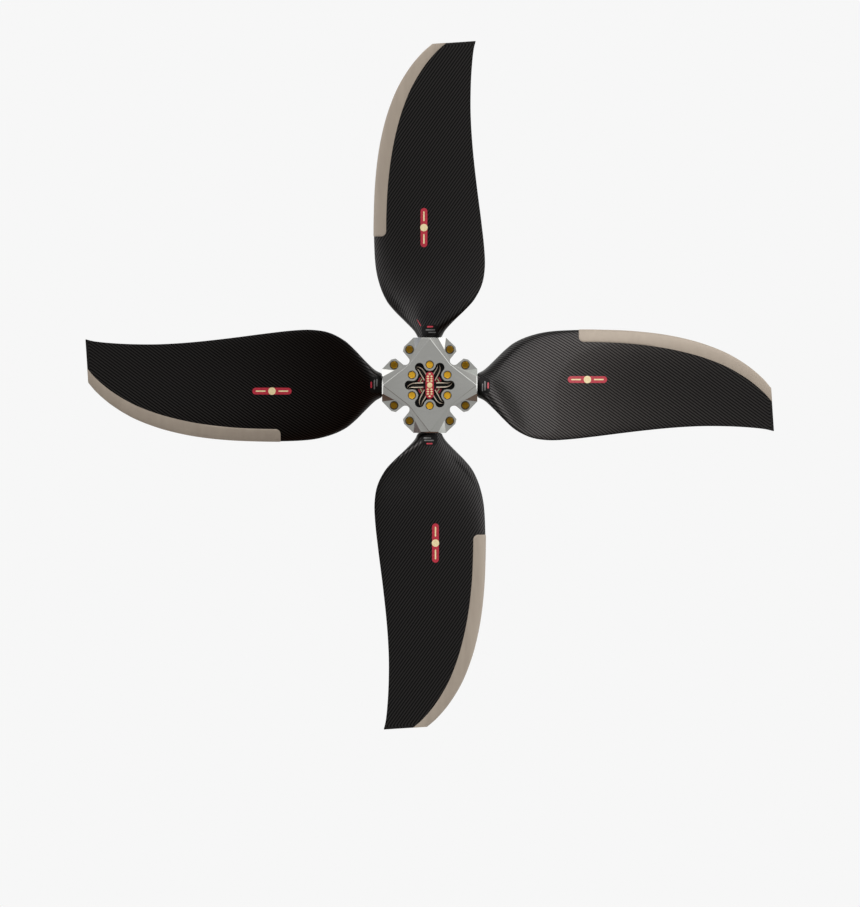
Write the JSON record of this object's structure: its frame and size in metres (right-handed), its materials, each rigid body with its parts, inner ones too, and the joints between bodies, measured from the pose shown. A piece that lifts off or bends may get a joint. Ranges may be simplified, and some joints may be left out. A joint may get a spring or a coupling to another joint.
{
  "type": "ground-adjustable propeller",
  "caption": "Wide swept carbon blades with metal leading-edge guards, clamped in a split aluminium hub with an engine-flange face and pilot bore.",
  "frame": {"origin": "centre of the hub's rear face, at the mouth of the pilot bore", "axes": "+Y out of the rear face towards the engine, +Z along blade 1, +X along blade 2; the front of the hub faces -Y"},
  "size_m": [2.032, 0.1727, 2.032],
  "materials": {
    "machined_aluminium": "satin",
    "black_plastic": "gloss",
    "badge_enamel": "gloss",
    "dowel_steel": "satin",
    "yellow_zinc": "satin",
    "carbon_laminate": "gloss",
    "foam_core": "matte",
    "guard_nickel": "satin"
  },
  "bodies": {
    "hub": {"hub_front_half": "machined_aluminium", "hub_rear_half": "machined_aluminium", "centre_cap": "black_plastic", "cap_badge": "badge_enamel", "hub_dowel_pins": "dowel_steel", "clamp_bolts": "yellow_zinc", "clamp_washers_front": "yellow_zinc", "clamp_washers_rear": "yellow_zinc", "clamp_lock_nuts": "yellow_zinc", "flange_bolts": "yellow_zinc", "flange_washers": "yellow_zinc"},
    "blade_1": {"blade_skin_1": "carbon_laminate", "blade_core_1": "foam_core", "root_ferrule_1": "machined_aluminium", "root_plug_1": "machined_aluminium", "leading_edge_guard_1": "guard_nickel"},
    "blade_2": {"blade_skin_2": "carbon_laminate", "blade_core_2": "foam_core", "root_ferrule_2": "machined_aluminium", "root_plug_2": "machined_aluminium", "leading_edge_guard_2": "guard_nickel"},
    "blade_3": {"blade_skin_3": "carbon_laminate", "blade_core_3": "foam_core", "root_ferrule_3": "machined_aluminium", "root_plug_3": "machined_aluminium", "leading_edge_guard_3": "guard_nickel"},
    "blade_4": {"blade_skin_4": "carbon_laminate", "blade_core_4": "foam_core", "root_ferrule_4": "machined_aluminium", "root_plug_4": "machined_aluminium", "leading_edge_guard_4": "guard_nickel"}
  },
  "joints": [
    {"name": "blade_pitch_1", "type": "hinge", "parent": "hub", "child": "blade_1", "pos_m": [0, -0.0508, 0], "axis": [0, 0, 1], "range_deg": [-8, 8]},
    {"name": "blade_pitch_2", "type": "hinge", "parent": "hub", "child": "blade_2", "pos_m": [0, -0.0508, 0], "axis": [1, 0, 0], "range_deg": [-8, 8]},
    {"name": "blade_pitch_3", "type": "hinge", "parent": "hub", "child": "blade_3", "pos_m": [0, -0.0508, 0], "axis": [0, 0, -1], "range_deg": [-8, 8]},
    {"name": "blade_pitch_4", "type": "hinge", "parent": "hub", "child": "blade_4", "pos_m": [0, -0.0508, 0], "axis": [-1, 0, 0], "range_deg": [-8, 8]}
  ]
}
